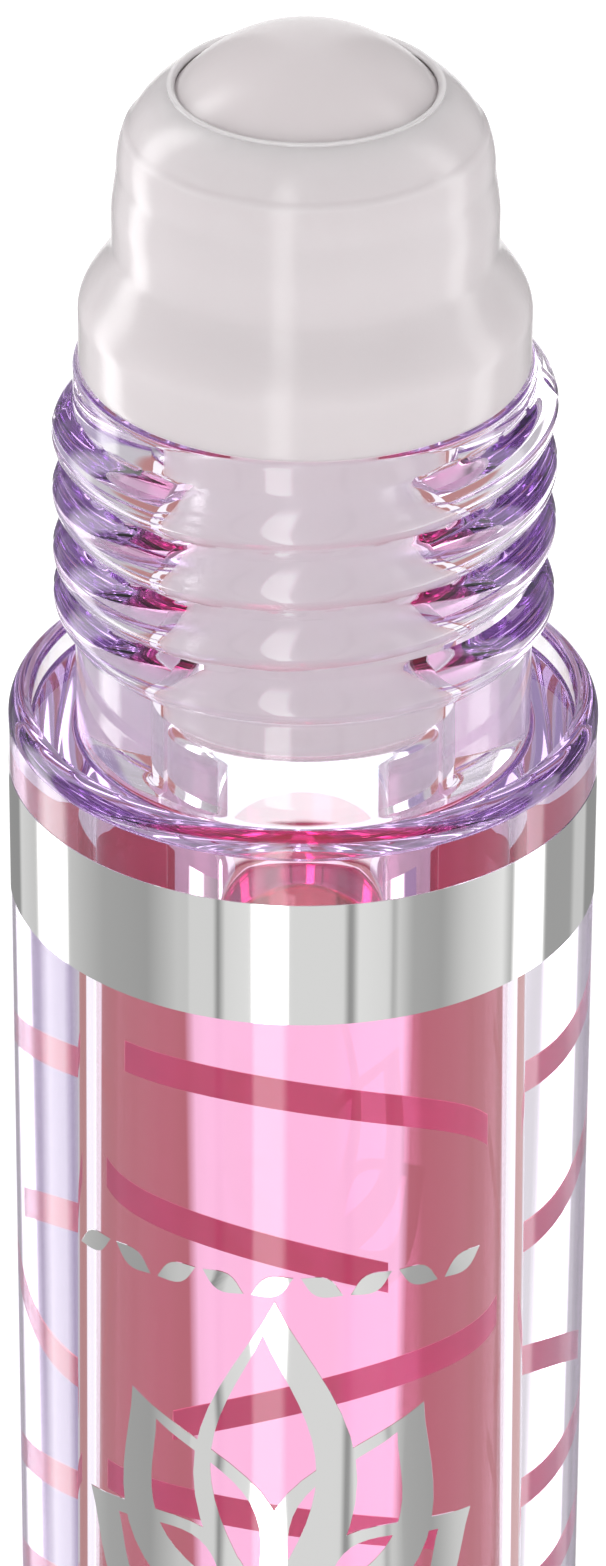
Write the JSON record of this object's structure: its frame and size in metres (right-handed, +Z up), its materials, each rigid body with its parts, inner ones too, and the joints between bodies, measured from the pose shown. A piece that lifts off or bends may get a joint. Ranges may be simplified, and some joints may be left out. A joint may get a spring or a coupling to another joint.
{
  "type": "lip gloss tube",
  "caption": "Uncapped roll-on lip gloss tube: clear thick-walled cylinder, threaded neck, frosted roller fitment with a ball, silver foil band and stamped ornament.",
  "frame": {"origin": "centre of the base's resting plane, on the tube's axis", "axes": "+Z up along the tube's axis, from the base to the ball; the stamped front faces -Y; +X is to the right seen from the front"},
  "size_m": [0.016, 0.016, 0.0825],
  "materials": {
    "clear_plastic": "polished",
    "pink_gloss": "glossy",
    "frosted_plastic": "satin",
    "ball_plastic": "satin",
    "silver_foil": "mirror",
    "back_foil": "glossy"
  },
  "bodies": {
    "tube": {"bottle": "clear_plastic", "gloss": "pink_gloss", "roller_housing": "frosted_plastic", "foil_band": "silver_foil", "front_garland": "silver_foil", "front_blossom": "silver_foil", "back_ribbons": "back_foil"},
    "ball": {"roller_ball": "ball_plastic"}
  },
  "joints": [
    {"name": "ball_roll", "type": "hinge", "parent": "tube", "child": "ball", "pos_m": [0, 0, 0.07805], "axis": [1, 0, 0], "continuous": true}
  ]
}
